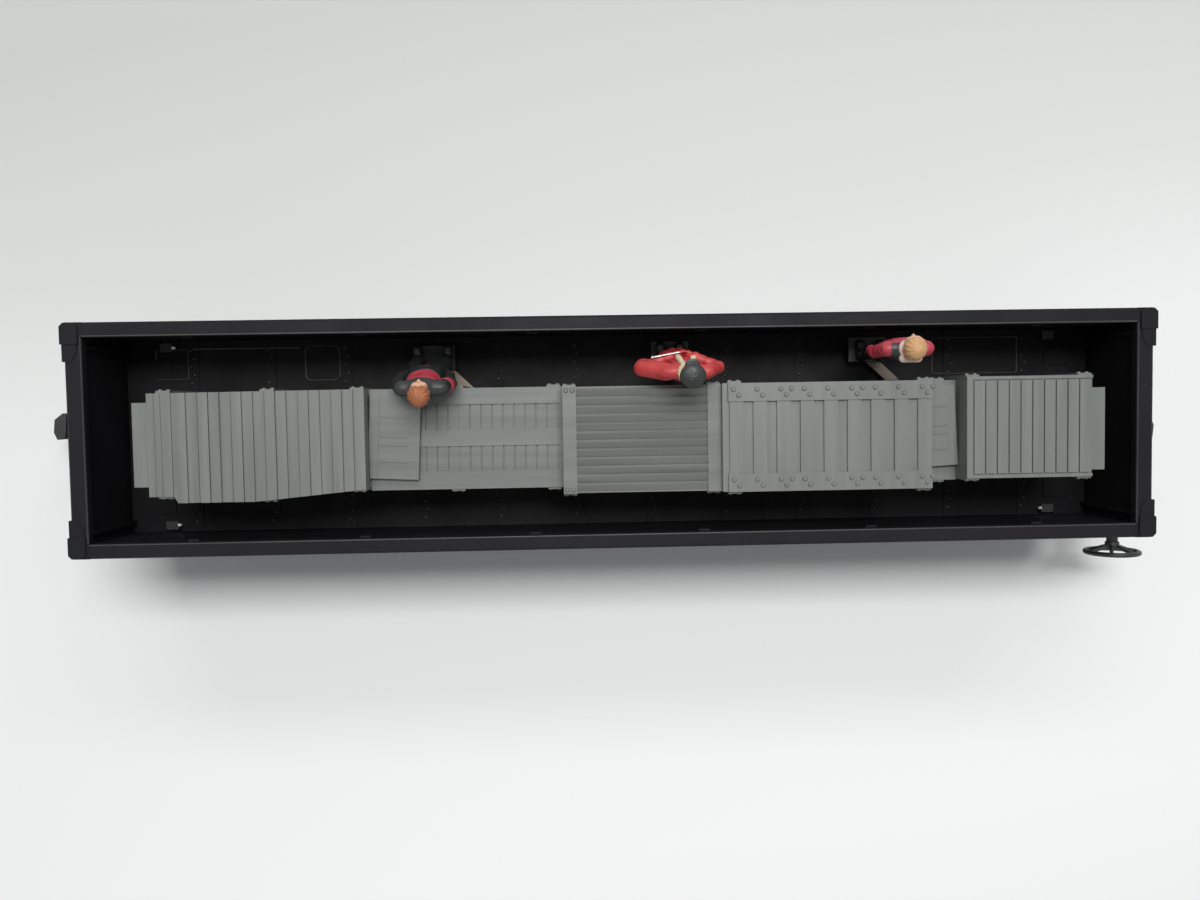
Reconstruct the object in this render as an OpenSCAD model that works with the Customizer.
// O-gauge open box car (gondola) with an animated load.
// A moulded tub body sits on a stamped frame with two swivelling trucks. A crate load hides a
// motor that drives a belt round two drums, and three worker figures ride the belt on trailing
// arms, round and round the crates. Units are millimetres.
// +X runs along the car, +Y to its left side, +Z up. The origin is the middle of the track at
// the height of the rail tops.

/* [Body shell] */
// Length over the top rim
body_len = 242; // [234:1:250]
// Width over the top rim
body_w = 52; // [51:0.5:54]
// Depth of the tub, floor to the top of the rim
body_depth = 25; // [23:0.5:27]
// Thickness of the tub walls
wall_t = 1.9; // [1.5:0.1:2.1]
// How far the rim stands out past the wall
rim_out = 0.9; // [0.6:0.1:1.2]
// How far the rim stands in past the wall
rim_in = 0.5; // [0.3:0.1:0.7]
// How far the rim stands in past the end walls
end_rim_in = 1.1; // [0.8:0.1:1.4]
// Height of the rim
rim_h = 2.2; // [1.8:0.1:2.6]
// Thickness of the tub floor
floor_t = 1.6; // [1.4:0.1:2]
// Pitch of the floor seams and outside posts
seam_pitch = 18.6; // [17.5:0.1:19]
// Width of an outside post
post_w = 2.8; // [2.2:0.1:3.4]
// How far an outside post stands out
post_out = 0.7; // [0.5:0.1:0.8]
// Length of a corner cap along the end rim
cap_len = 8.6; // [7:0.1:10]

/* [Frame] */
// Thickness of the stamped frame
plate_t = 1.2; // [1:0.1:1.4]
// How far the end platform reaches past the rim
platform_len = 8.5; // [8:0.1:9.5]
// Distance between the two truck pivots
pivot_span = 168; // [164:1:172]
// Width of the frame over its side sills
frame_w = 46.4; // [45:0.2:47]
// Height of the side sill below the plate
sill_h = 1.6; // [1.2:0.1:1.8]

/* [Wheels and trucks] */
// Radius of the wheel tread
tread_r = 8.5; // [8:0.1:8.6]
// Height of the flange above the tread
flange_h = 1.5; // [1.2:0.1:1.5]
// Distance between the inner faces of a pair of wheels
back_to_back = 28.2; // [27.6:0.1:28.6]
// Width of a wheel
wheel_w = 6; // [5.6:0.1:6.2]
// Distance between the two axles of a truck
wheelbase = 34; // [32:0.5:35]
// Radius of an axle
axle_r = 1.5; // [1.3:0.1:1.7]
// Thickness of a side frame
side_frame_t = 2.6; // [2.2:0.1:2.8]
// Reach of the coupler from the truck pivot
coupler_reach = 55.2; // [54:0.2:57]
// Height of the coupler head
coupler_h = 8; // [7:0.1:8.2]

/* [Crate load] */
// Width of the low crate, the load's narrowest box
load_w = 22.6; // [21.5:0.1:23]
// How far the low crate's middle sits off the centre line
load_y = -0.9; // [-1.3:0.1:-0.6]
// Thickness of the load's moulded wall
load_t = 1.2; // [1:0.1:1.3]
// Gap under the load's skirt, where the arms pass
skirt_gap = 5.2; // [4.6:0.1:5.4]
// Top of the bolted crate above the rim
bolt_top = 5.2; // [4.5:0.1:6]
// Top of the boarded stack above the rim
stack_top = 4; // [3:0.1:5]
// Top of the last crate above the rim
last_top = 4.4; // [3.4:0.1:5]
// Top of the slatted crate above the rim
slat_top = 2.2; // [1.4:0.1:3]
// Depth of the low crate's top below the rim
low_drop = 2.4; // [2:0.1:3.4]
// Length of the boarded stack at the left
stack_len = 46.6; // [45:0.5:48]
// Length of the low crate
low_len = 43; // [41:0.5:44]
// Length of the slatted crate
slat_len = 36.2; // [34:0.2:37]
// Length of the bolted crate
bolt_len = 45; // [43:0.5:46]
// Length of the low gap before the last crate
gap_len = 7.9; // [7:0.1:8.5]
// Length of the last crate
last_len = 28.2; // [27:0.2:29]
// Length of each end lug of the load
end_lug_len = 3.4; // [2.8:0.1:3.6]
// How much wider the slatted and bolted crates are than the low one
wide_extra = 1.1; // [0.6:0.1:1.3]
// Number of level slats on the slatted crate
slat_count = 12; // [10:1:13]
// Number of planks on the bolted crate
plank_count = 9; // [7:1:10]

/* [Belt drive] */
// Radius of the belt drums
drum_r = 7.4; // [7:0.1:7.5]
// Thickness of the belt
belt_t = 0.6; // [0.4:0.1:0.6]
// Height of the belt
belt_h = 4.4; // [3.8:0.1:4.6]
// How far each drum's middle lies inside the load's end
drum_inset = 12.35; // [12:0.05:13]
// Radius of the drum shafts
shaft_r = 1; // [0.8:0.1:1.2]
// Radius of the worm wheel
worm_wheel_r = 4.2; // [4:0.1:4.3]
// Radius of the worm
worm_r = 1.6; // [1.4:0.1:1.8]
// Radius of the motor can
motor_r = 4.4; // [4:0.1:4.5]
// Length of the motor can
motor_len = 20; // [18:0.5:22]

/* [Figures] */
// Height of a figure from sole to crown
figure_h = 37.6; // [36:0.2:39]
// Places of the figures along the car
figure_x = [-42.9, 13.6, 62];
// How far each figure leans towards the crates
figure_lean = [15.5, 10, 1];
// Distance of the sway pins from the centre line
sway_y = 17.4; // [17:0.1:17.6]
// How far a figure trails behind its belt clip
arm_trail = 9.6; // [8:0.2:10]
// Width of a trailing arm
arm_w = 2.4; // [2:0.1:2.8]
// Thickness of a trailing arm
arm_t = 0.6; // [0.5:0.1:0.8]

/* [Hand brake] */
// Radius of the hand brake wheel
brake_r = 6.8; // [6:0.1:7]
// Distance of the brake wheel rim from the centre line
brake_y = 33.6; // [32.5:0.1:34.5]

/* [Hidden] */
$fn = 40;

run_gap = 0.05;     // running clearance of a shaft in its bore
part_gap = 0.3;     // air between pieces that move past each other
touch_gap = 0.15;   // air between pieces that bear on each other

// heights
flange_top = 2 * tread_r + flange_h;
sill_z = flange_top + 0.5;
plate_z = sill_z + sill_h;
shell_z = plate_z + plate_t;
deck_z = shell_z + floor_t;
rim_z = deck_z + body_depth;

// tub
out_x = body_len / 2 - rim_out;
out_y = body_w / 2 - rim_out;
in_x = out_x - wall_t;
in_y = out_y - wall_t;
seam_count = 12;
rim_chamfer = 0.5;
corner_post_w = 4.2;
cap_w = 3.2;
cap_out = 0.6;
cap_block = 4.8;
cap_rise = 0.5;
lug_pitch = 2 * seam_pitch + 0.9;
tab_x = 108.4;
tab_y = min(in_y, frame_w / 2) - 1;
tab_w = 3;
tab_t = 0.8;
pivot_x = pivot_span / 2;
pivot_hole_r = 4.6;
pad_size = [6, 4.6, 0.35];
pad_place = [110.6, 16.5];

// frame
sill_t = 1.2;
platform_x = body_len / 2 + platform_len;
pad_r = 8;
pad_z = sill_z - 0.1;
centre_sill_w = 14;
centre_sill_h = 6;
centre_sill_x = 58;
rivet_r = 2;
bearer_x = centre_sill_x - 24;
bearer_t = 2;
switch_size = [10, 5, 2.8];
switch_at = [bearer_x + 6, centre_sill_w / 2 + 7.5];
slider_size = [2.4, 2, 3];
step_x = platform_x - 14.5;
step_w = 7;
step_t = 0.8;
step_h = 12;

// load, laid end to end from its left lug
load_len = stack_len + low_len + slat_len + bolt_len + gap_len + last_len + 2 * end_lug_len;
load_x0 = -load_len / 2 + 1.3;
stack_x = load_x0 + end_lug_len;
low_x = stack_x + stack_len;
slat_x = low_x + low_len;
bolt_x = slat_x + slat_len;
gap_x = bolt_x + bolt_len;
last_x = gap_x + gap_len;
last_end = last_x + last_len;
skirt_z = deck_z + skirt_gap;
stack_z = rim_z + stack_top;
low_z = rim_z - low_drop;
slat_z = rim_z + slat_top;
bolt_z = rim_z + bolt_top;
last_z = rim_z + last_top;
lug_z = stack_z - 1;
// low and high side of each crate
low_y = [load_y - load_w / 2, load_y + load_w / 2];
stack_y = [low_y[0], low_y[1] - 0.2];
stack_bulge = 1.4;
slat_y = [low_y[0] - wide_extra, low_y[1] - 0.2];
bolt_y = [low_y[0] - wide_extra - 0.1, low_y[1]];
last_y = [low_y[0] + 0.7, low_y[1] + 0.6];
lug_y = [low_y[0] + 2.1, low_y[1] - 2.2];
cleat_out = 0.45;
cleat_w = 3;
board_w = 4;
rod_bump = 0.55;
bolt_lap = 1.2;
post_places = [low_x - 4.7, low_x + low_len * 0.6, bolt_x + bolt_len * 0.52];
post_r = 2.4;
screw_r = 1;

// belt drive
drum_x = load_len / 2 - drum_inset;
mech_t = 1.2;
mech_z = deck_z + mech_t;
belt_z = deck_z + 2.6;
belt_r = drum_r + belt_t;
gear_z = belt_z + belt_h + 4.5;
gear_t = 3;
drum_lip = 0.7;
motor_z = gear_z + gear_t / 2;
motor_y = -(worm_wheel_r + worm_r);
motor_x = -drum_x + 8;
mech_half_w = 8.5;
board_size = [26, 12, 1.2];

// carriers
strip_z = deck_z + 1.7;
sway_z = strip_z + arm_t / 2;
pin_r = 0.5;
barrel_r = 1;
barrel_len = 4;
ear_t = 1;
ear_x = barrel_len / 2 + ear_t / 2 + 0.2;
foot_plate = [9, 6, 0.8];
foot_back = 1.8;
clip_len = 3.2;
clip_t = 0.5;

// trucks
axle_z = tread_r;
axle_x = wheelbase / 2;
wheel_in = back_to_back / 2;
wheel_out = wheel_in + wheel_w;
frame_y = wheel_out + 0.9;
bolster_z = 12.5;
bolster_h = 4;
bolster_w = 8;
shank_z = 11;
shank_t = 1.5;
head_z = 10.4;
knuckle_pivot = [coupler_reach - 6.8, -4.2];
knuckle_gap = 1.7;
uncoupler_x = coupler_reach - 11.5;
uncoupler_z = 6;
roller_r = 2.4;
roller_len = 12;
pickup_pin = [-2, 9];
roller_at = [6.5, roller_r + 0.1];
brake_x = body_len / 2 + platform_len - 2.6;
brake_z = plate_z + 0.2;
staff_r = 0.9;
brake_dish = 1.9;
hub_t = 1.4;
lug_out = 1;
lug_in = 2;
collar_r = 1.5;
collar_t = 0.5;

// ---------------------------------------------------------------- helpers
module box_at(lo, hi) { translate(lo) cube(hi - lo); }

// a box centred on X and Y, standing on z
module block(size, x = 0, y = 0, z = 0) {
    translate([x - size[0] / 2, y - size[1] / 2, z]) cube(size);
}

module rod(r, h, x = 0, y = 0, z = 0) { translate([x, y, z]) cylinder(r = r, h = h); }

// a cylinder along Y from y to y + h
module rod_y(r, h, x, y, z) { translate([x, y, z]) rotate([-90, 0, 0]) cylinder(r = r, h = h); }

// a cylinder along X from x to x + h
module rod_x(r, h, x, y, z) { translate([x, y, z]) rotate([0, 90, 0]) cylinder(r = r, h = h); }

module both_sides() { children(); mirror([0, 1, 0]) children(); }

module four_corners() { both_sides() { children(); mirror([1, 0, 0]) children(); } }

module stadium(half_len, r) {
    union() {
        square([2 * half_len, 2 * r], center = true);
        translate([half_len, 0]) circle(r);
        translate([-half_len, 0]) circle(r);
    }
}

// ---------------------------------------------------------------- body shell
module rim_profile(inner, outer) {
    polygon([[inner, rim_z - rim_h], [outer, rim_z - rim_h], [outer, rim_z - rim_chamfer],
        [outer - rim_chamfer, rim_z], [inner + rim_chamfer / 2, rim_z],
        [inner, rim_z - rim_chamfer / 2]]);
}

module long_rims() {
    both_sides() translate([-body_len / 2, 0, 0]) rotate([90, 0, 90])
        linear_extrude(body_len) rim_profile(in_y - rim_in, body_w / 2);
}

module end_rims() {
    for (s = [0, 180]) rotate([0, 0, s]) translate([0, body_w / 2, 0]) rotate([90, 0, 0])
        linear_extrude(body_w) rim_profile(in_x - end_rim_in, body_len / 2);
}

// a corner: the post outside, and the cap over the rim with its chamfered tongue
module corner() {
    drop = rim_h + 0.5;
    x = body_len / 2;
    y = body_w / 2;
    post = [out_x + rim_out / 2, out_y + rim_out / 2];
    box_at([post[0] - corner_post_w, out_y - 1, shell_z], [post[0], post[1], rim_z - rim_h]);
    box_at([out_x - 1, post[1] - corner_post_w, shell_z], [post[0], out_y, rim_z - rim_h]);
    translate([0, 0, rim_z - drop]) linear_extrude(drop + cap_rise)
        polygon([[x - cap_w + 0.7, y - 0.1], [x + cap_out - 0.8, y - 0.1], [x + cap_out, y - 0.9],
            [x + cap_out, y - cap_block], [x - cap_w, y - cap_block], [x - cap_w, y - 0.9]]);
    translate([0, 0, rim_z - drop]) linear_extrude(drop + cap_rise * 0.5)
        polygon([[x + cap_out - 0.3, y - cap_block + 0.1], [x + cap_out - 0.3, y - cap_len],
            [x - 1.6, y - cap_len], [x - cap_w + 0.4, y - cap_len + 2],
            [x - cap_w + 0.4, y - cap_block + 0.1]]);
}

module side_posts() {
    for (i = [0 : seam_count - 1])
        both_sides() block([post_w, post_out, rim_z - rim_h - shell_z - 1.6],
            (i - (seam_count - 1) / 2) * seam_pitch, out_y + post_out / 2, shell_z + 1.6);
    // bottom rail along the side
    both_sides() block([2 * out_x, post_out, 1.6], 0, out_y + post_out / 2, shell_z);
}

module end_posts() {
    for (s = [0, 180], y = [-9, 9]) rotate([0, 0, s])
        block([post_out, post_w, rim_z - rim_h - shell_z], out_x + post_out / 2, y, shell_z);
    for (s = [0, 180]) rotate([0, 0, s])
        block([post_out, 2 * out_y, 1.6], out_x + post_out / 2, 0, shell_z);
}

module floor_straps() {
    strap_w = 2.8;
    for (i = [0 : seam_count - 1])
        both_sides() block([strap_w, in_y - 11, 0.25], (i - (seam_count - 1) / 2) * seam_pitch,
            (in_y + 11) / 2, deck_z);
}

module inside_lugs() {
    for (i = [-2.5 : 2.5]) both_sides()
        block([2.4, 0.9, 1.4], i * lug_pitch, in_y - 0.45, rim_z - rim_h - 1.4);
    four_corners() block([0.7, 0.7, body_depth - rim_h], in_x - 0.7, in_y - 2.6, deck_z);
}

module floor_marks() {
    four_corners() block(pad_size, pad_place[0], pad_place[1], deck_z);
}

module body_shell() {
    color([0.09, 0.09, 0.10]) difference() {
        union() {
            difference() {
                box_at([-out_x, -out_y, shell_z], [out_x, out_y, rim_z - rim_h / 2]);
                box_at([-in_x, -in_y, deck_z], [in_x, in_y, rim_z]);
            }
            long_rims();
            end_rims();
            four_corners() corner();
            side_posts();
            end_posts();
            floor_straps();
            inside_lugs();
            floor_marks();
        }
        // slots that the frame tabs hook through
        four_corners() block([tab_w + 0.8, tab_t + 1, 2 * floor_t], tab_x, tab_y, shell_z - floor_t / 2);
        for (s = [-1, 1]) rod(pivot_hole_r, 2 * floor_t, s * pivot_x, 0, shell_z - floor_t / 2);
        for (s = [-1, 1]) rod(shaft_r + 0.6, 2 * floor_t, s * drum_x, 0, shell_z - floor_t / 2);
        for (x = post_places) rod(screw_r + 0.3, 2 * floor_t, x, 0, shell_z - floor_t / 2);
        // mould mark in the floor
        translate([-36.2, -16.4, deck_z - 0.2]) difference() {
            cylinder(r = 3.2, h = 1);
            translate([0, 0, -1]) cylinder(r = 2.8, h = 3);
        }
    }
}

// ---------------------------------------------------------------- frame
module frame_tab() {
    block([tab_w, tab_t, floor_t + plate_t + tab_t], tab_x, tab_y, plate_z);
    block([tab_w, tab_t + 1.2, tab_t], tab_x, tab_y - 0.6, deck_z + 0.05);
}

module centre_sill() {
    difference() {
        translate([0, centre_sill_w / 2, 0]) rotate([90, 0, 0]) linear_extrude(centre_sill_w)
            polygon([[-centre_sill_x, plate_z], [-centre_sill_x + 14, plate_z - centre_sill_h],
                [centre_sill_x - 14, plate_z - centre_sill_h], [centre_sill_x, plate_z]]);
        block([2 * centre_sill_x, centre_sill_w - 2 * plate_t, centre_sill_h + 2], 0, 0,
            plate_z - centre_sill_h - 2);
    }
}

module cross_bearers() {
    for (x = [-bearer_x, bearer_x]) both_sides() translate([x + bearer_t / 2, 0, 0])
        rotate([90, 0, -90]) linear_extrude(bearer_t) polygon([[sill_t - frame_w / 2, plate_z],
            [sill_t - frame_w / 2, plate_z - sill_h],
            [0.2 - centre_sill_w / 2, plate_z - centre_sill_h + 1.6], [0.2 - centre_sill_w / 2, plate_z]]);
}

// channel under the frame with its cross bearers
module centre_beam() { color([0.12, 0.12, 0.13]) { centre_sill(); cross_bearers(); } }

module underframe() {
    color([0.12, 0.12, 0.13]) difference() {
        union() {
            block([2 * platform_x, frame_w, plate_t], 0, 0, plate_z);
            both_sides() block([2 * out_x, sill_t, sill_h], 0, frame_w / 2 - sill_t / 2, sill_z);
            for (s = [-1, 1]) {
                rod(pad_r, plate_z - pad_z, s * pivot_x, 0, pad_z);
                block([sill_t, frame_w, sill_h], s * (platform_x - sill_t / 2), 0, sill_z);
            }
            four_corners() frame_tab();
            // bracket that carries the brake staff
            block([4, lug_out + lug_in, 3.6], brake_x, (lug_in - lug_out - frame_w) / 2, brake_z - 1.8);
        }
        for (s = [-1, 1]) rod(rivet_r + 0.02, 9, s * pivot_x, 0, pad_z - 2);
        for (s = [-1, 1]) rod(shaft_r + 0.6, 3 * plate_t, s * drum_x, 0, plate_z - plate_t);
        for (x = post_places) rod(screw_r + 0.3, 3 * plate_t, x, 0, plate_z - plate_t);
        rod_y(staff_r + run_gap, 10, brake_x, -frame_w / 2 - 4, brake_z);
        rod_y(collar_r + part_gap, 2 * touch_gap + collar_t, brake_x, lug_in - frame_w / 2, brake_z);
    }
}

// U-shaped stirrup steps under the four corners
module corner_steps() {
    y = frame_w / 2 + step_t / 2;
    color([0.12, 0.12, 0.13]) four_corners() difference() {
        block([step_w, step_t, step_h], step_x, y, plate_z + plate_t - step_h);
        block([step_w - 2 * step_t, 3 * step_t, step_h - 3.4 - step_t], step_x, y,
            plate_z + plate_t - step_h + step_t);
    }
}

// shouldered rivets on which the trucks turn
module truck_pivots() {
    low_head = bolster_z - 1;
    color([0.62, 0.62, 0.62]) for (s = [-1, 1]) {
        rod(rivet_r, shell_z - low_head, s * pivot_x, 0, low_head);
        rod(3.6, 1, s * pivot_x, 0, shell_z);
        rod(3.2, 0.85, s * pivot_x, 0, low_head);
    }
}

// ---------------------------------------------------------------- belt drive
module mechanism_plate() {
    color([0.75, 0.75, 0.72]) difference() {
        union() {
            translate([0, 0, deck_z]) linear_extrude(mech_t) stadium(drum_x - 2, mech_half_w);
            for (s = [-1, 1]) rod(2.4, belt_z - drum_lip - touch_gap - deck_z, s * drum_x, 0, deck_z);
        }
        rod(shaft_r + run_gap, 3 * mech_t, -drum_x, 0, deck_z - mech_t);
        rod(shaft_r, 3 * mech_t, drum_x, 0, deck_z - mech_t);
        for (s = [-1, 1]) rod(pivot_hole_r, mech_t, s * pivot_x, 0, deck_z - mech_t / 2);
        for (x = post_places) rod(screw_r + 0.1, 3 * mech_t, x, 0, deck_z - mech_t);
    }
}

module belt() {
    color([0.16, 0.15, 0.14]) translate([0, 0, belt_z]) linear_extrude(belt_h) difference() {
        stadium(drum_x, belt_r);
        stadium(drum_x, drum_r + 0.02);
    }
}

module drum(bore) {
    difference() {
        union() {
            rod(drum_r, belt_h, 0, 0, belt_z);
            rod(drum_r + 0.4, drum_lip - 0.1, 0, 0, belt_z - drum_lip);
            rod(drum_r - 1, belt_h + 2 * drum_lip, 0, 0, belt_z - drum_lip);
        }
        rod(bore, belt_h + 4, 0, 0, belt_z - 2);
        // weight-saving pockets under the drum's top
        for (a = [0 : 60 : 300]) rotate([0, 0, a]) rod(1.4, belt_h, 4.2, 0, belt_z + 1.4);
    }
}

module drive_drum() { color([0.2, 0.2, 0.2]) translate([-drum_x, 0, 0]) drum(shaft_r); }

module idler_drum() { color([0.2, 0.2, 0.2]) translate([drum_x, 0, 0]) drum(shaft_r + run_gap); }

module drive_shaft() {
    color([0.7, 0.7, 0.7]) rod(shaft_r, gear_z + gear_t + 1 - deck_z, -drum_x, 0, deck_z);
}

module idler_pin() {
    color([0.7, 0.7, 0.7]) {
        rod(shaft_r, belt_z + belt_h + 1.2 - deck_z, drum_x, 0, deck_z);
        rod(2, 0.6, drum_x, 0, belt_z + belt_h + 1.0);
    }
}

module worm_wheel() {
    teeth = 18;
    root_r = worm_wheel_r - 0.55;
    color([0.9, 0.88, 0.8]) translate([-drum_x, 0, 0]) difference() {
        union() {
            rod(root_r, gear_t, 0, 0, gear_z);
            rod(2, 1.2, 0, 0, gear_z - 1.2);
            for (i = [0 : teeth - 1]) rotate([0, 0, i * 360 / teeth])
                translate([0, 0, gear_z]) linear_extrude(gear_t)
                    polygon([[root_r - 0.3, -0.42], [worm_wheel_r - 0.1, -0.2],
                        [worm_wheel_r - 0.1, 0.2], [root_r - 0.3, 0.42]]);
        }
        rod(shaft_r, gear_t + 4, 0, 0, gear_z - 2);
    }
}

module motor_shaft() {
    color([0.7, 0.7, 0.7]) rod_x(0.6, motor_x + drum_x + 4.5, -drum_x - 4.4, motor_y, motor_z);
}

// the worm's thread, as rings at the tooth pitch
module worm() {
    pitch = 1.45;
    core_r = worm_r - 0.5;
    color([0.72, 0.6, 0.3]) difference() {
        union() {
            rod_x(core_r, 7, -drum_x - 3.5, motor_y, motor_z);
            for (i = [-2 : 2])
                rod_x(worm_r - 0.1, 0.4, -drum_x - 0.2 + (i + 0.5) * pitch - 0.0, motor_y, motor_z);
        }
        rod_x(0.6, 9, -drum_x - 4.5, motor_y, motor_z);
    }
}

module motor_can() {
    color([0.66, 0.66, 0.68]) difference() {
        union() {
            rod_x(motor_r, motor_len, motor_x + 1, motor_y, motor_z);
            rod_x(1.8, 1, motor_x, motor_y, motor_z);
            for (s = [-1, 1]) block([1.2, 0.4, 2], motor_x + 1.6 + motor_len, motor_y + s * 2, motor_z - 1);
        }
        rod_x(0.6 + run_gap, 3, motor_x - 0.5, motor_y, motor_z);
    }
}

// moulded cradle with a band over the can
module motor_cradle() {
    y_in = -drum_r + 0.5;
    y_out = motor_y + motor_r + 2.8;
    band_x = motor_x + 8;
    color([0.2, 0.2, 0.22]) difference() {
        union() {
            box_at([motor_x + 3, y_in, mech_z], [motor_x + 3 + motor_len * 0.7, y_out, motor_z - 0.4]);
            rod_x(motor_r + 0.6, 4, band_x, motor_y, motor_z);
            box_at([band_x, motor_y + motor_r - 0.6, motor_z - 0.5], [band_x + 4, y_out, motor_z + 0.3]);
        }
        rod_x(motor_r + 0.02, motor_len, motor_x + 1, motor_y, motor_z);
        box_at([band_x - 1, motor_y - motor_r - 2, mech_z - 1], [band_x + 5, y_in, motor_z - 0.5]);
        box_at([motor_x + 5, y_in + 2.4, mech_z + 1.4],
            [motor_x + 1 + motor_len * 0.7, y_out - 1.4, motor_z - motor_r - 1.6]);
    }
}

module circuit_board() {
    x = (post_places[1] + post_places[2]) / 2;
    foot = 1;
    top = mech_z + foot + board_size[2];
    color([0.1, 0.35, 0.2]) {
        block(board_size, x, 0, mech_z + foot);
        for (s = [-1, 1]) rod(1.6, foot, x + s * board_size[0] * 0.35, 0, mech_z);
    }
    color([0.15, 0.15, 0.15]) block([6, 6, 2.6], x - board_size[0] / 4, 0, top);
    color([0.15, 0.2, 0.5]) rod(3.2, 9, x + board_size[0] / 6, 0, top);
}

module switch_body() {
    color([0.15, 0.15, 0.15]) difference() {
        block(switch_size, switch_at[0], switch_at[1], plate_z - switch_size[2]);
        block([slider_size[0] + 4.2, slider_size[1] + 0.6, 2], switch_at[0], switch_at[1],
            plate_z - switch_size[2] - 0.4);
    }
}

module switch_lever() {
    color([0.85, 0.85, 0.82]) block(slider_size, switch_at[0], switch_at[1],
        plate_z - switch_size[2] - 1.8);
}

// ---------------------------------------------------------------- crate load
// the outer block of a crate, with sides at y[0] and y[1]
module crate(x0, x1, y, top) { box_at([x0, y[0], skirt_z], [x1, y[1], top]); }

// small round bolt heads standing on a top face
module bolt_heads(places, z) {
    for (p = places) translate([p[0], p[1], z])
        cylinder(r1 = rod_bump, r2 = rod_bump * 0.6, h = 0.4, $fn = 16);
}

// a cleat up both sides of a crate, with a pair of bolt heads near its top
module side_cleat(x, y, top) {
    box_at([x - cleat_w / 2, y[0] - cleat_out, skirt_z], [x + cleat_w / 2, y[1] + cleat_out, top - 0.5]);
    for (dx = [-0.9, 0.9])
        rod_y(0.45, y[1] - y[0] + 2 * cleat_out + 0.5, x + dx, y[0] - cleat_out - 0.25, top - 1.6);
}

// low side of the stack at x
function stack_low(x) = stack_y[0] - (x < stack_x + 6 ? 0 : x < stack_x + 23 ? stack_bulge
    : stack_bulge - (stack_bulge + 0.8) * (x - stack_x - 23) / (stack_len - 23));

// level joints between the boards on both sides of a crate
module side_joints(x0, x1, y, top, count) {
    pitch = (top - skirt_z) / count;
    for (i = [1 : count - 1], side = y)
        block([x1 - x0, 0.6, 0.3], (x0 + x1) / 2, side, skirt_z + i * pitch);
}

// plan of the boarded stack: it bulges to one side and tapers back
module stack_plan(inset) {
    y0 = stack_y[0] + inset;
    y1 = stack_y[1] - inset;
    polygon([[stack_x + inset, y0], [stack_x + 5.2, y0], [stack_x + 6.1 + inset / 2, y0 - stack_bulge],
        [stack_x + 23, y0 - stack_bulge], [low_x, y0 + 0.8], [low_x, y1 + 0.2], [stack_x + inset, y1]]);
}

// boards lying across the stack, each third one a little proud
module stack_boards() {
    first = 6;
    count = 17;
    pitch = (stack_len - first) / count;
    intersection() {
        translate([0, 0, stack_z - 1]) linear_extrude(2) stack_plan(0);
        union() {
            for (i = [0 : count - 1])
                box_at([stack_x + first + i * pitch + 0.3, -20, stack_z - 0.8],
                    [stack_x + first + (i + 1) * pitch, 20, stack_z - (i % 3 == 1 ? 0.3 : 0)]);
            box_at([stack_x + 1.8, -20, stack_z - 0.8], [stack_x + 2.9, 20, stack_z - 0.35]);
            box_at([stack_x + 3.2, -20, stack_z - 0.8], [stack_x + 5.2, 20, stack_z - 0.15]);
            box_at([stack_x, -20, stack_z - 0.8], [stack_x + 1.5, 20, stack_z - 0.35]);
        }
    }
}

module board_stack() {
    translate([0, 0, skirt_z]) linear_extrude(stack_z - 0.5 - skirt_z) stack_plan(0);
    stack_boards();
}

// low crate: three long boards and, between them, rows of cross slats
module low_crate() {
    slats = 13;
    first = 10.2;
    pitch = (low_len - first - 0.8) / slats;
    rows = [[low_y[0] + 4.2, low_y[0] + 9.6], [low_y[0] + 13.3, low_y[1] - 3.7]];
    difference() {
        crate(low_x, slat_x, low_y, low_z);
        for (r = rows) box_at([low_x + 1, r[0], low_z - 0.7], [slat_x - 0.8, r[1], low_z + 1]);
    }
    for (r = rows, i = [-3 : slats - 1])
        translate([low_x + first + i * pitch, r[0] - 0.1, low_z - 0.8])
            rotate([0, -2.5, 0]) cube([pitch - 0.4, r[1] - r[0] + 0.2, 0.45]);
}

// a loose lid lying askew, with faint ribs across it
module lid(at, size, turn) {
    translate(at) rotate([0, 0, turn]) {
        translate([-size[0] / 2, -size[1] / 2, 0]) cube(size);
        for (y = [-0.3, -0.1, 0, 0.24])
            translate([-size[0] * 0.28, y * size[1], size[2]]) cube([size[0] * 0.55, 0.35, 0.2]);
        translate([-size[0] / 2 + 1.9, -size[1] / 2, size[2]]) cube([0.3, size[1], 0.2]);
    }
}

// slatted crate: a cleat across each end, slats tilted like weatherboards between
module slat_crate() {
    pitch = (slat_y[1] - slat_y[0] - 0.6) / slat_count;
    deck = slat_z - 0.8;
    crate(slat_x, bolt_x - bolt_lap, slat_y, deck);
    for (x = [slat_x, bolt_x - bolt_lap - cleat_w])
        box_at([x, slat_y[0] - 0.1, deck - 0.5], [x + cleat_w, slat_y[1] + 0.1, slat_z]);
    for (i = [0 : slat_count - 1])
        translate([slat_x + cleat_w - 0.1, slat_y[0] + 0.3 + i * pitch, deck - 0.4])
            rotate([90, 0, 90]) linear_extrude(slat_len - 2 * cleat_w - 1)
                polygon([[0, 0], [pitch, 0], [pitch, 0.7], [pitch - 0.45, 1.1], [0.1, 0.55]]);
    for (s = [-1, 1])
        bolt_heads([for (y = slat_y) [slat_x + cleat_w / 2 + 0.7 * s, y - sign(y) * 0.8]], slat_z);
}

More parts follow.
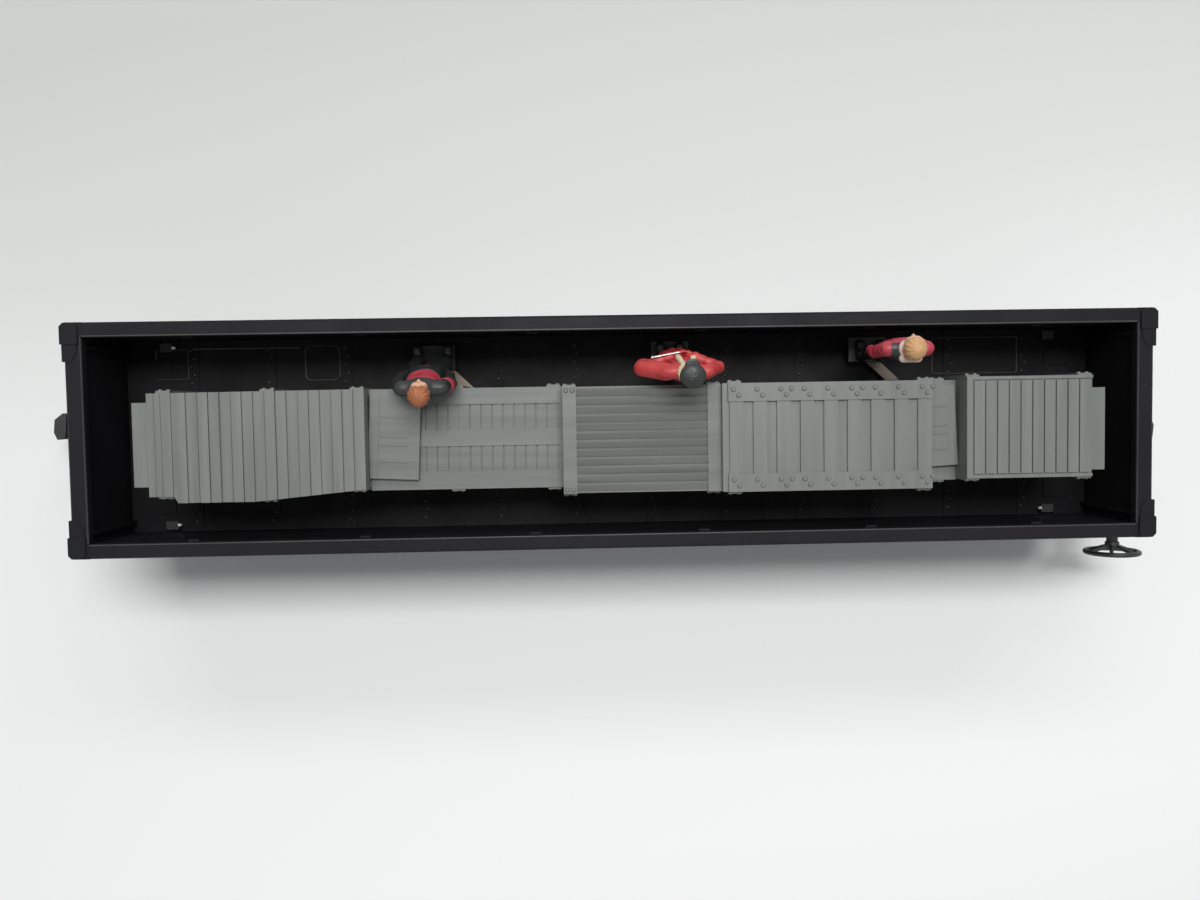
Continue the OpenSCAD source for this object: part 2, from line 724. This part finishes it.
// bolted crate: raised planks between two long boards with bolt heads in twos and threes
module bolt_crate() {
    deck = bolt_z - 1.1;
    pitch = (bolt_len + 1.8) / plank_count;
    plank_w = 0.64 * pitch;
    inner = [bolt_y[0] + board_w, bolt_y[1] - board_w];
    crate(bolt_x - bolt_lap, gap_x, bolt_y, deck);
    for (i = [0 : plank_count - 1])
        box_at([bolt_x + i * pitch + 0.3, inner[0] - 0.1, deck - 0.1],
            [bolt_x + i * pitch + plank_w, inner[1] + 0.1, bolt_z - 0.55]);
    for (side = [[bolt_y[0], inner[0]], [inner[1], bolt_y[1]]]) {
        box_at([bolt_x, side[0], deck - 0.1], [gap_x, side[1], bolt_z - 0.3]);
        bolt_heads([for (i = [0 : plank_count - 1], k = [0 : (i % 3 == 2 ? 2 : 1)])
            [bolt_x + i * pitch + 1.1 + 1.2 * k, (side[0] + side[1]) / 2 + (k == 1 ? -0.7 : 0.6)]],
            bolt_z - 0.35);
    }
}

// last crate: planks across inside a thin frame
module last_crate() {
    count = 10;
    pitch = (last_len - 1.9) / count;
    crate(last_x, last_end, last_y, last_z - 0.5);
    box_at([last_x, last_y[0], last_z - 0.6], [last_x + 1.3, last_y[1], last_z]);
    for (side = [last_y[0], last_y[1] - 0.7])
        box_at([last_x, side, last_z - 0.6], [last_end, side + 0.7, last_z - 0.1]);
    for (i = [0 : count - 1])
        box_at([last_x + 1.65 + i * pitch, last_y[0] + 1, last_z - 0.6],
            [last_x + 1.3 + (i + 1) * pitch, last_y[1] - 1, last_z - 0.05]);
}

// end lug from x to x + end_lug_len, with a row of bolt heads on its outer face
module end_lug(x, face_x) {
    crate(x, x + end_lug_len, lug_y, lug_z);
    for (y = [-6.9, -3, 1.3, 6.3]) rod_x(rod_bump, 0.4, face_x, y, lug_z - 4);
}

// the space inside the load, open below
module load_hollow() {
    wall = load_t;
    translate([0, 0, skirt_z - 1]) linear_extrude(stack_z - 0.5 - wall - skirt_z + 1) stack_plan(wall);
    for (c = [[low_x - wall - 2, slat_x + 2, low_y, low_z], [slat_x, bolt_x, slat_y, slat_z - 0.8],
        [bolt_x, gap_x - wall, bolt_y, bolt_z - 1.1], [gap_x - wall - 2, last_x + wall + 2, low_y, low_z],
        [last_x + wall, last_end - wall, last_y, last_z - 0.5]])
        box_at([c[0], c[2][0] + wall, skirt_z - 1], [c[1], c[2][1] - wall, c[3] - wall]);
    box_at([load_x0 + wall, lug_y[0] + wall, skirt_z - 1],
        [last_end + end_lug_len - wall, lug_y[1] - wall, low_z - 2 * wall]);
}

// hollows out a moulding of the load and adds the screw post of place i
module load_moulding(i, top) {
    x = post_places[i];
    color([0.55, 0.57, 0.56]) difference() {
        union() {
            difference() {
                children();
                load_hollow();
            }
            rod(post_r, top - load_t / 2 - mech_z, x, 0, mech_z);
        }
        rod(screw_r - 0.05, 12, x, 0, mech_z - 1);
    }
}

// left moulding: the boarded stack and its end lug
module stack_load() {
    load_moulding(0, stack_z - 0.5) {
        board_stack();
        end_lug(load_x0, load_x0 - 0.35);
        for (x = [stack_x + 3.4, stack_x + 25.7, low_x - 1.6])
            side_cleat(x, [stack_low(x + cleat_w / 2) + 0.05, stack_y[1] + 0.1], stack_z - 0.3);
    }
}

// middle moulding: the low crate with its lid, and the slatted crate
module low_load() {
    load_moulding(1, low_z) {
        difference() {
            union() {
                low_crate();
                slat_crate();
                for (x = [low_x + low_len * 0.45, slat_x - 2]) side_cleat(x, low_y, low_z);
                for (x = [slat_x + 1.5, bolt_x - 2.8]) side_cleat(x, slat_y, slat_z - 0.6);
            }
            side_joints(low_x, slat_x, low_y, low_z, 4);
            side_joints(slat_x, bolt_x - bolt_lap, slat_y, slat_z, 5);
        }
        lid([low_x + 5.6, -0.4, low_z - 0.1], [11.2, 18.4, 1.7], -2.8);
    }
}

// right moulding: the bolted crate, the gap with its lid, the last crate and the end lug
module tall_load() {
    load_moulding(2, bolt_z - 1.1) {
        difference() {
            union() {
                bolt_crate();
                crate(gap_x - 0.1, last_x + 0.1, low_y, low_z);
                last_crate();
                end_lug(last_end, last_end + end_lug_len - 0.05);
                for (x = [bolt_x + 1.5, gap_x - 1.5]) side_cleat(x, bolt_y, bolt_z - 0.8);
                side_cleat(gap_x + gap_len / 2, low_y, low_z);
                for (x = [last_x + 1.5, last_end - 1.5]) side_cleat(x, last_y, last_z - 0.3);
            }
            side_joints(bolt_x, gap_x, bolt_y, bolt_z, 5);
            side_joints(last_x, last_end, last_y, last_z, 5);
        }
        lid([gap_x + 2.9, 0.1, low_z - 0.1], [9, 18, 1.9], 2.8);
    }
}

module load_screws() {
    color([0.62, 0.62, 0.62]) for (x = post_places) {
        rod(screw_r - 0.1, mech_z + 9 - plate_z, x, 0, plate_z);
        translate([x, 0, plate_z - 1.2]) difference() {
            cylinder(r = 2, h = 1.2);
            translate([0, 0, -0.4]) block([2.6, 0.5, 1], 0, 0, 0);
            translate([0, 0, -0.4]) block([0.5, 2.6, 1], 0, 0, 0);
        }
    }
}

// ---------------------------------------------------------------- carriers and figures
// arm from the belt clip back to the sway barrel
module carrier_arm(x) {
    clip_y = belt_r + run_gap;
    from = [x + arm_trail, clip_y + clip_t / 2];
    to = [x, sway_y];
    run = norm(to - from);
    turn = atan2(to[1] - from[1], to[0] - from[0]);
    color([0.72, 0.66, 0.55]) difference() {
        union() {
            block([clip_len, clip_t, belt_z + belt_h - strip_z], from[0], from[1], strip_z);
            translate([from[0], from[1], strip_z]) rotate([0, 0, turn])
                translate([-arm_w / 2, -arm_w / 2, 0]) cube([run + arm_w / 2, arm_w, arm_t]);
            rod_x(barrel_r, barrel_len, x - barrel_len / 2, sway_y, sway_z);
        }
        rod_x(pin_r + run_gap, barrel_len + 2, x - barrel_len / 2 - 1, sway_y, sway_z);
        // room for the foot plate's ear
        rod_x(barrel_r + part_gap, ear_t + part_gap, x + ear_x - (ear_t + part_gap) / 2, sway_y, sway_z);
        // the clip is bent flat against the belt
        box_at([from[0] - 9, clip_y - 4, strip_z - 1], [from[0] + 9, clip_y, strip_z + 9]);
    }
}

// places children that are drawn upright, with the sway pin's axis as their X axis
module swayed(i) {
    translate([figure_x[i], sway_y, sway_z]) rotate([figure_lean[i], 0, 0]) children();
}

module sway_pin(i) {
    color([0.7, 0.7, 0.7]) swayed(i) rod_x(pin_r, 2 * (ear_x + ear_t / 2), -ear_x - ear_t / 2, 0, 0);
}

module foot_plate(i) {
    top = barrel_r + foot_plate[2] + 0.1;
    color([0.1, 0.1, 0.1]) swayed(i) difference() {
        union() {
            box_at([-foot_plate[0] / 2, -foot_back, top - foot_plate[2]],
                [foot_plate[0] / 2, foot_plate[1] - foot_back, top]);
            for (s = [-1, 1]) {
                rod_x(barrel_r, ear_t, s * ear_x - ear_t / 2, 0, 0);
                block([ear_t, 2 * barrel_r, top - foot_plate[2] / 2], s * ear_x, 0, 0);
            }
        }
        rod_x(pin_r, 20, -10, 0, 0);
    }
}

module ball(r, p) { translate(p) sphere(r = r, $fn = 14); }

module limb(a, ra, b, rb) { hull() { ball(ra, a); ball(rb, b); } }

// a rounded slab: a disc stretched to half widths rx, ry
module oval(rx, ry, h, z) {
    translate([0, 0, z]) scale([rx, ry, 1]) cylinder(r = 1, h = h, $fn = 20);
}

// a standing worker, soles at z = 0, facing +Y, drawn 40 units tall
// arms: [elbow, hand] of the -X arm, then of the +X arm; hem: how far the coat hangs below the hips
module worker(arms, hem, stance) {
    for (side = [-1, 1]) {
        hull() {
            ball(1.5, [side * stance, -0.5, 1.5]);
            ball(1.15, [side * (stance + 0.3), 2.7, 1.15]);
            ball(1.4, [side * stance, -0.3, 4.5]);
        }
        limb([side * 2, 0, 20], 2.2, [side * (stance - 0.1), -0.2, 11], 1.75);
        limb([side * (stance - 0.1), -0.2, 11], 1.75, [side * stance, -0.3, 4], 1.45);
    }
    hull() {
        oval(hem > 4 ? 4.6 : 3.8, hem > 4 ? 3 : 2.5, 0.6, 19.5 - hem);
        oval(3.7, 2.3, 1, 23);
    }
    hull() {
        oval(3.7, 2.3, 1, 23);
        oval(4.6, 2.7, 1, 29);
        oval(4.4, 2.1, 0.8, 32.2);
        oval(2.2, 1.6, 0.6, 33.6);
    }
    for (k = [0, 1]) {
        side = k == 0 ? -1 : 1;
        limb([side * 4.9, 0, 31.2], 1.65, arms[k][0], 1.35);
        limb(arms[k][0], 1.35, arms[k][1], 1.05);
        ball(1.2, arms[k][1] + [0, 0.5, -0.6]);
    }
    translate([0, 0.1, 32.5]) cylinder(r = 1.35, h = 3, $fn = 14);
    translate([0, 0.3, 36.9]) scale([0.92, 1.06, 1.25]) sphere(r = 2.45, $fn = 18);
}

soles = barrel_r + foot_plate[2] + 0.1;
full = figure_h / 40;

// bare-headed worker in a vest, arms at the sides
module figure_1() {
    color([0.6, 0.12, 0.12]) swayed(0) translate([-0.6, 1.45, soles + 0.12]) rotate([0, 2, 0]) scale(full) {
        worker([[[-6, 0.5, 25.6], [-5.2, 2.5, 20.6]], [[6, 0.5, 25.6], [5.2, 2.5, 20.6]]], 1, 3.2);
        translate([0, 0, 37.6]) scale([1.04, 1.1, 1]) sphere(r = 2.5, $fn = 18);
    }
}

// worker in a long coat, flat cap and scarf, arms held out
module figure_2() {
    color([0.7, 0.12, 0.14]) swayed(1) translate([-0.1, 1, soles + 0.1]) rotate([0, 2, 0]) scale(full) {
        worker([[[-8, 0.8, 27.4], [-5.6, 2.8, 24.2]], [[8, 0.8, 27.4], [5.6, 2.8, 24.2]]], 9, 2.2);
        translate([0, 0.1, 38.2]) scale([1, 1.12, 0.62]) sphere(r = 3, $fn = 20);
        translate([0, 2.9, 38]) scale([1, 0.9, 0.25]) sphere(r = 2, $fn = 14);
        translate([0, 0.2, 33.4]) scale([1, 0.85, 0.42]) sphere(r = 3, $fn = 16);
    }
}

// worker in a jacket, one arm down and one bent across
module figure_3() {
    color([0.7, 0.15, 0.2]) swayed(2) translate([0.6, 0.3, soles + 0.08]) rotate([0, -1.5, 0]) scale(full) {
        worker([[[-5.9, 0, 25.8], [-5.6, 2.4, 20.8]], [[5.9, 0.4, 26], [3.2, 3.4, 24]]], 2.4, 2.4);
        translate([0, 0, 37.7]) scale([1.04, 1.1, 1]) sphere(r = 2.5, $fn = 18);
    }
}

// ---------------------------------------------------------------- trucks
// children are drawn for the front truck about its pivot, coupler towards +X
module front() { translate([pivot_x, 0, 0]) children(); }

module rear() { rotate([0, 0, 180]) translate([pivot_x, 0, 0]) children(); }

module bolster() {
    color([0.13, 0.13, 0.13]) difference() {
        union() {
            block([bolster_w, 2 * frame_y - 0.02, bolster_h], 0, 0, bolster_z);
            rod(6, pad_z - touch_gap - bolster_z, 0, 0, bolster_z);
            block([20, 9.6, shank_t], 10, 0, bolster_z);
        }
        rod(rivet_r + run_gap, 12, 0, 0, bolster_z - 2);
    }
}

module side_frame_outline() {
    difference() {
        polygon([[-axle_x - 4.6, 5], [-axle_x - 4.6, 11.4], [-axle_x + 2, 12.8], [-7.4, 16.4],
            [7.4, 16.4], [axle_x - 2, 12.8], [axle_x + 4.6, 11.4], [axle_x + 4.6, 5],
            [axle_x - 4.4, 5], [7.4, 3.2], [-7.4, 3.2], [-axle_x + 4.4, 5]]);
        polygon([[-axle_x + 4.8, 7], [-5.6, 5.4], [-5.6, 13.2], [-axle_x + 6, 10.6]]);
        polygon([[axle_x - 4.8, 7], [5.6, 5.4], [5.6, 13.2], [axle_x - 6, 10.6]]);
        translate([-3.2, 6]) square([6.4, 6.4]);
    }
}

module side_frame() {
    difference() {
        union() {
            translate([0, frame_y + side_frame_t, 0]) rotate([90, 0, 0])
                linear_extrude(side_frame_t) side_frame_outline();
            for (s = [-1, 1]) {
                block([6.2, 1.4, 5.8], s * axle_x, frame_y + side_frame_t + 0.7, axle_z - 2.9);
                block([5, 0.5, 1.4], s * axle_x, frame_y + side_frame_t + 1.6, axle_z + 0.9);
            }
            // coil springs in the middle window
            for (x = [-1.5, 1.5]) for (z = [0 : 4])
                rod(1.35, 0.7, x, frame_y + side_frame_t / 2, 6.2 + z * 1.2);
            for (x = [-1.5, 1.5]) rod(0.9, 6.6, x, frame_y + side_frame_t / 2, 5.9);
        }
        for (s = [-1, 1]) rod_y(axle_r - 0.2 + run_gap, 2.1, s * axle_x, frame_y - 0.1, axle_z);
    }
}

module side_frames() { color([0.13, 0.13, 0.13]) both_sides() side_frame(); }

module axle(x) {
    tip_r = axle_r - 0.2;
    color([0.6, 0.6, 0.6]) translate([x, 0, axle_z]) rotate([90, 0, 0]) {
        cylinder(r = axle_r, h = 2 * wheel_out, center = true);
        cylinder(r = tip_r, h = 2 * (frame_y + 1.7), center = true);
    }
}

// wheel profile, turned about the axle: flange inside, tapered tread outside
module wheel() {
    r = tread_r;
    rotate([-90, 0, 0]) rotate_extrude($fn = 60) polygon([[axle_r, wheel_in],
        [3.4, wheel_in], [3.4, wheel_in + 0.6], [r - 1.6, wheel_in + 0.9], [r - 1.2, wheel_in],
        [r + flange_h - 0.3, wheel_in], [r + flange_h, wheel_in + 0.4], [r + flange_h, wheel_in + 1],
        [r + 0.1, wheel_in + 1.6], [r - 0.2, wheel_out], [r - 1.3, wheel_out],
        [r - 1.7, wheel_out - 1.3], [3.6, wheel_out - 1.6], [3, wheel_out - 0.2], [axle_r, wheel_out - 0.2]]);
}

module wheels(x) {
    color([0.16, 0.16, 0.17]) translate([x, 0, axle_z]) both_sides() wheel();
}

// coupler head with its shank; the knuckle works in the slot
module coupler() {
    reach = coupler_reach;
    p = knuckle_pivot;
    color([0.14, 0.14, 0.14]) difference() {
        union() {
            box_at([9, -4.8, shank_z], [reach - 13, 4.8, shank_z + shank_t - 0.02]);
            translate([0, 0, head_z]) linear_extrude(coupler_h)
                polygon([[reach - 15, -4.8], [reach - 10, -6.4], [p[0], -6.5], [p[0] + 0.6, -1.9],
                    [reach - 9.4, -0.6], [reach - 9.8, 1.6], [reach - 7.2, 3.2], [reach - 4.2, 4.6],
                    [reach - 3.8, 6.3], [reach - 8, 6.5], [reach - 15, 4.8]]);
            translate([p[0], p[1], head_z]) cylinder(r = 2.3, h = coupler_h);
        }
        // slot for the knuckle
        box_at([p[0] - 2.9, -7, head_z + knuckle_gap], [reach + 2, -1.5, head_z + coupler_h - knuckle_gap]);
        translate([p[0], p[1], head_z - 1]) cylinder(r = 0.8, h = coupler_h + 2);
        rod(1.08, 6, uncoupler_x, 0, shank_z - 2);
    }
}

module knuckle() {
    reach = coupler_reach;
    p = knuckle_pivot;
    low = head_z + knuckle_gap + 0.2;
    tall = coupler_h - 2 * knuckle_gap - 0.4;
    color([0.2, 0.2, 0.2]) difference() {
        union() {
            translate([0, 0, low]) linear_extrude(tall) {
                translate(p) circle(2.1);
                polygon([[p[0], -6.3], [reach - 2.4, -6.2], [reach - 0.3, -4.6], [reach, -1.4],
                    [reach - 0.8, 0.4], [reach - 2.6, 0.3], [reach - 3, -1.6], [reach - 4.8, -2.5],
                    [p[0], -2.1]]);
            }
            translate([0, 0, head_z + 0.4]) linear_extrude(coupler_h - 0.8)
                polygon([[reach - 3.2, -5.9], [reach - 2.4, -6.2], [reach - 0.3, -4.6],
                    [reach, -1.4], [reach - 0.8, 0.4], [reach - 2.6, 0.3], [reach - 3, -1.6]]);
        }
        translate([p[0], p[1], low - 1]) cylinder(r = 0.7 + run_gap, h = tall + 2);
    }
}

module knuckle_pin() {
    color([0.6, 0.6, 0.6]) translate([knuckle_pivot[0], knuckle_pivot[1], head_z - 0.3]) {
        cylinder(r = 0.7, h = coupler_h + 0.6);
        translate([0, 0, coupler_h + 0.3]) cylinder(r = 1.3, h = 0.5);
    }
}

// magnet-pulled plunger that frees the knuckle
module uncoupler() {
    color([0.7, 0.7, 0.7]) {
        rod(3.6, 0.9, uncoupler_x, 0, uncoupler_z);
        rod(1, shank_z + 1 - uncoupler_z, uncoupler_x, 0, uncoupler_z);
    }
}

module pickup_hanger() {
    color([0.7, 0.6, 0.4]) difference() {
        both_sides() block([4, 0.8, bolster_z - pickup_pin[1] + 1.4], pickup_pin[0], 5.2,
            pickup_pin[1] - 1.4);
        rod_y(0.6 + run_gap, 14, pickup_pin[0], -7, pickup_pin[1]);
    }
}

module pickup_arm() {
    drop = pickup_pin[1] - roller_at[1];
    run = roller_at[0] - pickup_pin[0];
    tilt = atan2(drop, run);
    color([0.75, 0.62, 0.35]) difference() {
        union() {
            rod_y(0.6, 13, pickup_pin[0], -6.5, pickup_pin[1]);
            both_sides() for (q = [0]) translate([pickup_pin[0], 4, pickup_pin[1]])
                rotate([0, tilt, 0]) translate([-1, 0, -0.9])
                    cube([norm([drop, run]) + 2, 0.6, 1.8]);
            translate([pickup_pin[0], -4.1, pickup_pin[1]]) rotate([0, tilt, 0])
                translate([0.9, 0, -0.3]) cube([2.4, 8.2, 0.6]);
        }
        rod_y(0.7, 16, roller_at[0], -8, roller_at[1]);
    }
}

module pickup_roller() {
    half = 3.7;
    color([0.72, 0.62, 0.4]) {
        rod_y(roller_r, 2 * half, roller_at[0], -half, roller_at[1]);
        rod_y(0.65, 10.4, roller_at[0], -5.2, roller_at[1]);
    }
}

// ---------------------------------------------------------------- hand brake
module brake_staff() {
    hub_y = -brake_y + brake_dish + hub_t / 2;
    outer = -frame_w / 2 - lug_out;
    color([0.15, 0.15, 0.15]) {
        rod_y(staff_r, lug_in + 0.4 - frame_w / 2 - hub_y + hub_t, brake_x, hub_y - hub_t, brake_z);
        rod_y(1.35, outer - touch_gap - hub_y, brake_x, hub_y, brake_z);
        rod_y(collar_r, collar_t, brake_x, lug_in + touch_gap - frame_w / 2, brake_z);
    }
}

// dished wheel: hub nearer the car, six spokes out to a round rim
module brake_wheel() {
    dish = brake_dish;
    spokes = 6;
    rim_r = 0.6;
    color([0.12, 0.12, 0.12]) translate([brake_x, -brake_y, brake_z]) {
        rotate([90, 0, 0]) rotate_extrude($fn = 60) translate([brake_r - rim_r, 0]) circle(rim_r, $fn = 16);
        for (i = [0 : spokes - 1]) rotate([0, i * 360 / spokes, 0])
            translate([0, dish, 0]) rotate([90, 0, 0])
                rotate([0, atan2(brake_r - rim_r - 0.6, dish), 0]) translate([0, 0, staff_r + 0.4])
                    cylinder(r1 = 0.55, r2 = 0.42, h = norm([brake_r - rim_r, dish]) - staff_r - 0.7,
                        $fn = 16);
        difference() {
            rod_y(1.7, hub_t, 0, dish - hub_t / 2, 0);
            rod_y(staff_r + 0.02, hub_t + 1, 0, dish - hub_t / 2 - 0.5, 0);
        }
    }
}

body_shell();
underframe();
centre_beam();
corner_steps();
truck_pivots();
mechanism_plate();
stack_load();
low_load();
tall_load();
load_screws();
belt();
idler_pin();
motor_can();
motor_cradle();
circuit_board();
switch_body();
switch_lever();
brake_staff();
brake_wheel();
drive_drum();
drive_shaft();
worm_wheel();
idler_drum();
motor_shaft();
worm();
carrier_arm(figure_x[0]);  // carrier_arm_1
carrier_arm(figure_x[1]);  // carrier_arm_2
carrier_arm(figure_x[2]);  // carrier_arm_3
foot_plate(0);  // foot_plate_1
foot_plate(1);  // foot_plate_2
foot_plate(2);  // foot_plate_3
sway_pin(0);  // sway_pin_1
sway_pin(1);  // sway_pin_2
sway_pin(2);  // sway_pin_3
figure_1();
figure_2();
figure_3();
front() bolster();  // front_bolster
front() side_frames();  // front_side_frames
front() coupler();  // front_coupler
front() knuckle();  // front_knuckle
front() knuckle_pin();  // front_knuckle_pin
front() uncoupler();  // front_uncoupler
front() axle(axle_x);  // front_outer_axle
front() wheels(axle_x);  // front_outer_wheels
front() axle(-axle_x);  // front_inner_axle
front() wheels(-axle_x);  // front_inner_wheels
rear() bolster();  // rear_bolster
rear() side_frames();  // rear_side_frames
rear() coupler();  // rear_coupler
rear() knuckle();  // rear_knuckle
rear() knuckle_pin();  // rear_knuckle_pin
rear() uncoupler();  // rear_uncoupler
rear() axle(axle_x);  // rear_outer_axle
rear() wheels(axle_x);  // rear_outer_wheels
rear() axle(-axle_x);  // rear_inner_axle
rear() wheels(-axle_x);  // rear_inner_wheels
front() pickup_hanger();
front() pickup_arm();
front() pickup_roller();
